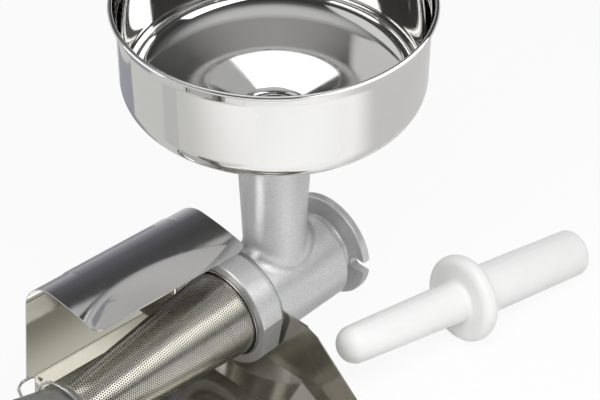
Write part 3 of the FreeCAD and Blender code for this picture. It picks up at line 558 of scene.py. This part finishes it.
def make_materials():
    """The record's material slots, each with its node material."""
    cast = Shade("cast_aluminium", Metallic=0.6, IOR=1.5)
    grit = cast.ranged(cast.cells(0.45), 0.0, 1.0, 0.0, 1.0)
    cast.colour(grit, (0.58, 0.58, 0.585), (0.76, 0.76, 0.765))
    cast.roughness(cast.noise(9.0), 0.30, 0.42)
    cast.bump(cast.noise(5.0, 2.0), 0.06).bump(cast.noise(0.8, 2.0), 0.05, 0.7)

    polish = Shade("polished_steel", Metallic=1.0)
    polish.colour(polish.noise(30.0), (0.80, 0.795, 0.785), (0.86, 0.855, 0.845))
    polish.roughness(polish.noise(6.0, 4.0), 0.035, 0.075)
    polish.bump(polish.noise(22.0, 1.0), 0.03, 0.5)

    punched = Shade("strainer_steel", Metallic=0.92, IOR=1.5)
    punched.colour(punched.noise(14.0), (0.60, 0.58, 0.52), (0.72, 0.70, 0.64))
    # painted shade: the walls of the holes through the sheet are coloured almost black
    punched.painted_shade(punched.ranged(punched.radial(), 0.0, 1.0), (0.05, 0.048, 0.042))
    punched.roughness(punched.noise(5.0, 4.0), 0.17, 0.27)
    punched.bump(punched.noise(1.6, 2.0, (0.25, 1.0, 1.0)), 0.02, 0.5)

    tray = Shade("tray_steel", IOR=1.5)
    tray.metal(tray.across(15.0, 60.0), 0.94, 0.62)
    tray.colour(tray.noise(25.0), (0.58, 0.555, 0.49), (0.68, 0.655, 0.59))
    tray.roughness(tray.noise(8.0, 4.0), 0.09, 0.17)
    tray.bump(tray.noise(30.0, 1.0), 0.12, 0.5)
    tray.bump(tray.noise(1.2, 2.0, (1.0, 0.12, 1.0)), 0.006, 0.5)

    bright = Shade("bright_steel", Metallic=1.0)
    bright.colour(bright.noise(4.0), (0.60, 0.60, 0.60), (0.74, 0.74, 0.73))
    bright.roughness(bright.noise(2.0, 3.0), 0.16, 0.28)
    bright.bump(bright.noise(0.5, 2.0), 0.01, 0.5)

    spout = Shade("spout_plastic", IOR=1.48)
    spout.colour(spout.noise(6.0, 4.0), (0.115, 0.114, 0.108), (0.165, 0.163, 0.155))
    spout.roughness(spout.noise(3.0), 0.26, 0.40)
    spout.bump(spout.noise(1.0, 2.0), 0.02, 0.6)

    screw = Shade("screw_plastic", IOR=1.48)
    screw.colour(screw.noise(8.0), (0.10, 0.10, 0.097), (0.15, 0.15, 0.146))
    screw.roughness(screw.noise(4.0), 0.34, 0.48)
    screw.bump(screw.noise(1.4), 0.03, 0.6)

    pestle = Shade("pestle_plastic", IOR=1.5, Subsurface_Weight=0.25, Subsurface_Scale=0.004,
                   Subsurface_Radius=(1.0, 0.95, 0.85))
    pestle.colour(pestle.noise(18.0), (0.85, 0.851, 0.84), (0.89, 0.89, 0.88))
    pestle.roughness(pestle.noise(4.0), 0.30, 0.42)
    pestle.bump(pestle.noise(0.9, 2.0), 0.012, 0.6).bump(pestle.noise(12.0, 1.0), 0.08, 0.5)

    rubber = Shade("seal_rubber", IOR=1.5)
    rubber.colour(rubber.noise(3.0), (0.018, 0.018, 0.018), (0.035, 0.034, 0.033))
    rubber.roughness(rubber.noise(1.5), 0.55, 0.72)
    rubber.bump(rubber.noise(0.6), 0.03, 0.6)

    bronze = Shade("bush_bronze", Metallic=1.0)
    bronze.colour(bronze.noise(2.5), (0.42, 0.27, 0.12), (0.55, 0.37, 0.18))
    bronze.roughness(bronze.noise(1.2), 0.30, 0.45)
    bronze.bump(bronze.noise(0.5), 0.02, 0.6)

    shades = (cast, polish, punched, tray, bright, spout, screw, pestle, rubber, bronze)
    return {shade.slot: shade.material for shade in shades}


# Studio: pale floor, white background, soft lamps, and a room and cards that only mirrors show
class Web:
    """The node tree of a world or of a studio surface under construction."""

    def __init__(self, owner):
        owner.use_nodes = True
        self.tree = owner.node_tree
        self.tree.nodes.clear()
        self.path = self.tree.nodes.new("ShaderNodeLightPath")

    def calc(self, operation, first, second):
        """A sum on two values, each a socket or a plain number."""
        node = self.tree.nodes.new("ShaderNodeMath")
        node.operation = operation
        for socket, value in zip(node.inputs, (first, second)):
            if isinstance(value, (int, float)):
                socket.default_value = value
            else:
                self.tree.links.new(value, socket)
        return node.outputs[0]

    def product(self, first, second):
        return self.calc("MULTIPLY", first, second)

    def larger(self, first, second):
        return self.calc("MAXIMUM", first, second)

    def along(self, way, axis):
        """How far a direction or position runs along an axis."""
        node = self.tree.nodes.new("ShaderNodeVectorMath")
        node.operation = "DOT_PRODUCT"
        node.inputs[1].default_value = axis
        self.tree.links.new(way, node.inputs[0])
        return node.outputs["Value"]

    def step(self, value, start, end, low=0.0, high=1.0):
        """A smooth step from one value to another."""
        return spread(self.tree, value, start, end, low, high, "SMOOTHSTEP")

    def window(self, value, start, end, soft):
        """1 between two values and 0 outside them, with soft edges."""
        rise = self.step(value, start - soft, start)
        fall = self.step(value, end, end + soft, 1.0, 0.0)
        return self.product(rise, fall)

    def ramp(self, value, shades):
        """Shades of (place, grey, blue) along a value."""
        node = self.tree.nodes.new("ShaderNodeValToRGB")
        self.tree.links.new(value, node.inputs["Fac"])
        stops = node.color_ramp.elements
        for index in (0, -1):
            place, grey, blue = shades[index]
            stops[index].position = place
            stops[index].color = (grey, grey, blue, 1)
        for place, grey, blue in shades[1:-1]:
            stops.new(place).color = (grey, grey, blue, 1)
        return node.outputs["Color"]

    def surface(self, output, factor, first, second):
        """Ends the tree in a mix of two shader nodes."""
        mix = self.tree.nodes.new("ShaderNodeMixShader")
        self.tree.links.new(factor, mix.inputs[0])
        self.tree.links.new(first.outputs[0], mix.inputs[1])
        self.tree.links.new(second.outputs[0], mix.inputs[2])
        out = self.tree.nodes.new(output)
        self.tree.links.new(mix.outputs[0], out.inputs["Surface"])

    def mirrored(self):
        """1 for rays from mirrored or clear surfaces."""
        rays = self.path.outputs
        return self.larger(rays["Is Glossy Ray"], rays["Is Transmission Ray"])


def studio_world():
    """White background; mirrors show a white horizon, a dim room, its grey far side and panels."""
    world = bpy.data.worlds.new("studio")
    scene.world = world
    web = Web(world)
    tree = web.tree
    way = tree.nodes.new("ShaderNodeTexCoord").outputs["Generated"]
    ahead, aside, height = (web.along(way, axis) for axis in (AHEAD, ASIDE, UP))
    above = web.larger(height, LEAST_HEIGHT)
    across = web.calc("DIVIDE", aside, above)
    depth = web.calc("DIVIDE", ahead, above)

    overhead = web.product(web.window(depth, *OVERHEAD_DEPTH), web.window(across, *OVERHEAD_ACROSS))
    overhead = web.product(overhead, web.step(height, *OVERHEAD_HEIGHT))
    side = web.product(web.window(depth, *SIDE_DEPTH), web.window(across, *SIDE_ACROSS))
    left = web.product(web.window(aside, *LEFT_ASIDE), web.window(height, *LEFT_HEIGHT))
    panels = web.larger(web.product(side, SIDE_GLOW), web.product(left, LEFT_GLOW))
    far = web.product(web.step(ahead, *FAR_AHEAD), web.step(aside, *FAR_ASIDE, 1.0, 0.0))

    room = mixed(tree, far, web.ramp(height, ROOM_SHADES), web.ramp(height, FAR_SHADES))
    room = mixed(tree, 1.0, room, panels, "LIGHTEN")
    room = mixed(tree, overhead, room, (OVERHEAD_GLOW, OVERHEAD_GLOW, OVERHEAD_GLOW, 1))
    seen = tree.nodes.new("ShaderNodeBackground")
    straight = web.path.outputs["Is Camera Ray"]
    tree.links.new(mixed(tree, straight, room, (1, 1, 1, 1)), seen.inputs["Color"])
    light = tree.nodes.new("ShaderNodeBackground")
    light.inputs["Color"].default_value = (*ROOM_TINT, 1)
    light.inputs["Strength"].default_value = ROOM_LIGHT
    web.surface("ShaderNodeOutputWorld", web.larger(straight, web.mirrored()), light, seen)


def plane(name, width, height, material_name):
    """A flat rectangle in the studio, and the empty node tree of its material."""
    mesh = bpy.data.meshes.new(name)
    w, h = width / 2, height / 2
    mesh.from_pydata([(-w, -h, 0), (w, -h, 0), (w, h, 0), (-w, h, 0)], [], [(0, 1, 2, 3)])
    material = bpy.data.materials.new(material_name)
    mesh.materials.append(material)
    thing = bpy.data.objects.new(name, mesh)
    scene.collection.objects.link(thing)
    return thing, Web(material)


def floor():
    """A wide matt table that the camera sees almost white, with the mill's shadow on it."""
    thing, web = plane("floor", FLOOR_WIDTH, FLOOR_WIDTH, "floor_white")
    thing.location = (0, 0, TABLE * MM)
    matt = web.tree.nodes.new("ShaderNodeBsdfDiffuse")
    matt.inputs["Color"].default_value = (FLOOR_GREY, FLOOR_GREY, FLOOR_GREY, 1)
    white = web.tree.nodes.new("ShaderNodeEmission")
    direct = web.product(web.path.outputs["Is Camera Ray"], CAMERA_VEIL)
    veil = web.larger(direct, web.product(web.mirrored(), MIRROR_VEIL))
    web.surface("ShaderNodeOutputMaterial", veil, matt, white)


def facing(way, rise):
    """Turn that points Z along one direction, with Y as near to another as can be."""
    front = Vector(way).normalized()
    across = Vector(rise).cross(front).normalized()
    return Matrix((across, front.cross(across), front)).transposed().to_euler()


def card(name, centre, way, size, low, high, rise=UP, start=-1.0, end=1 / 3):
    """A plain one-sided card that only reflections show, with its middle and size in metres.

    Its colour goes from low to high along rise, between two shares of its half height."""
    width, height = size
    thing, web = plane(name, width, height, name)
    thing.location = centre
    thing.rotation_euler = facing(way, rise)
    tree = web.tree
    place = tree.nodes.new("ShaderNodeTexCoord").outputs["Object"]
    share = web.step(web.along(place, (0, 1, 0)), height / 2 * start, height / 2 * end)
    glow = tree.nodes.new("ShaderNodeEmission")
    tree.links.new(mixed(tree, share, (*low, 1), (*high, 1)), glow.inputs["Color"])
    clear = tree.nodes.new("ShaderNodeBsdfTransparent")
    behind = tree.nodes.new("ShaderNodeNewGeometry").outputs["Backfacing"]
    web.surface("ShaderNodeOutputMaterial", behind, glow, clear)
    thing.visible_camera = False
    thing.visible_diffuse = False
    thing.visible_shadow = False
    thing.visible_transmission = False


def lamp(name, centre, aim, size, power, glossy):
    """A soft lamp, placed and sized in metres, with its width square to the camera's heading."""
    data = bpy.data.lights.new(name, "AREA")
    data.shape = "RECTANGLE"
    data.size, data.size_y = size
    data.energy = power
    thing = bpy.data.objects.new(name, data)
    scene.collection.objects.link(thing)
    thing.location = centre
    back = Vector(centre) - Vector(aim)
    thing.rotation_euler = facing(back, back.cross(Vector(ASIDE)))
    thing.visible_camera = False
    thing.visible_glossy = glossy


def camera():
    """The camera that the photo was taken with, as fitted to it."""
    lens = bpy.data.cameras.new("camera")
    lens.sensor_width = SENSOR_WIDTH
    lens.lens = FOCAL_LENGTH / FRAME_WIDTH * SENSOR_WIDTH
    lens.shift_x = 0.5 - OPTICAL_CENTRE[0] / FRAME_WIDTH
    lens.shift_y = (OPTICAL_CENTRE[1] - FRAME_HEIGHT / 2) / FRAME_WIDTH
    thing = bpy.data.objects.new("camera", lens)
    scene.collection.objects.link(thing)
    place, aim = Vector(CAMERA_PLACE) * MM, Vector(CAMERA_AIM) * MM
    thing.location = place
    thing.rotation_euler = (aim - place).to_track_quat("-Z", "Y").to_euler()
    scene.camera = thing


def make_studio():
    """Room, table, lamps, and the cards that the polished and cast metal mirrors."""
    studio_world()
    floor()
    lamp("key", centre=(-0.24, -0.40, 0.72), aim=(-0.24, -0.36, 0.0), size=(0.80, 0.45),
         power=6.4, glossy=False)
    lamp("left_strip", centre=(-0.80, 0.70, 0.20), aim=(-0.06, 0, 0.1), size=(0.25, 0.7),
         power=1.6, glossy=True)

    # lilac cards behind the mill, one upright and one flat on the table
    lilac = (0.34, 0.34, 0.38)
    card("guard_card", centre=(-0.08, 0.22, -0.021), way=(0, -1, 0), size=(0.14, 0.132),
         low=(0.36, 0.36, 0.40), high=(0.30, 0.30, 0.34))
    card("floor_card", centre=(-0.07, 0.365, -0.086), way=UP, size=(0.24, 0.19),
         low=lilac, high=lilac, rise=(0, 1, 0))

    # grey cards beside the mill, one upright on its left and one flat on the table on each side
    grey = (0.54, 0.54, 0.53)
    card("left_card", centre=(-0.322, 0.120, 0.0), way=(0.263, -0.207, 0), size=(0.058, 0.17),
         low=grey, high=grey)
    card("left_table", centre=(-0.38, 0.18, -0.0872), way=UP, size=(0.40, 0.84),
         low=(0.61, 0.61, 0.592), high=(1.04, 1.035, 1.025), rise=(-0.575, -0.818, 0),
         start=0.20, end=0.95)
    card("right_table", centre=(0.19, -0.28, -0.0872), way=UP, size=(0.46, 0.60),
         low=(0.625, 0.62, 0.615), high=(1.03, 1.025, 1.02), rise=(-0.951, -0.309, 0),
         start=0.22, end=0.82)

    # bright cards above the cone's near side and in front of the neck
    bright = (2.2, 2.2, 2.2)
    card("cone_card", centre=(-0.04, -0.234, 0.234), way=(-0.14, 0.234, -0.234), size=(0.30, 0.26),
         low=(0.4, 0.4, 0.38), high=(2.1, 2.1, 2.07))
    card("neck_card", centre=(-0.125, -0.006, 0.059), way=(1, 0, 0), size=(0.02, 0.05),
         low=bright, high=bright)

    # painted reflections: glowing cards close to the tray's floor, which face away from it and only
    # mirrors show, so that mirrored surfaces over the tray show a bright strip and an olive glow
    # where they mirror its floor
    off_tray = (0.0837, 0, 0.9965)
    card("tray_painted_glow", centre=(-0.1624, 0.0648, -0.0499), way=off_tray, size=(0.0136, 0.13),
         low=(0.5, 0.5, 0.45), high=(1.55, 1.55, 1.45))
    card("wall_painted_glow", centre=(-0.1624, 0.0335, -0.0499), way=off_tray, size=(0.13, 0.049),
         low=(0.50, 0.49, 0.41), high=(0.20, 0.195, 0.155), rise=(0, -1, 0), end=0.9)


hopper_shell = hopper()
guard_sheet = guard()
strainer_sheet = strainer()
materials = make_materials()
for slot, material in materials.items():
    for node in nodes.values():
        if node.data.materials and node.data.materials[0].name.split(".")[0] == slot:
            node.data.materials[0] = material
for piece, slot in ((hopper_shell, "polished_steel"), (guard_sheet, "polished_steel"),
                    (strainer_sheet, "strainer_steel")):
    piece.data.materials.append(materials[slot])

make_studio()
camera()
scene.view_settings.view_transform = "Standard"
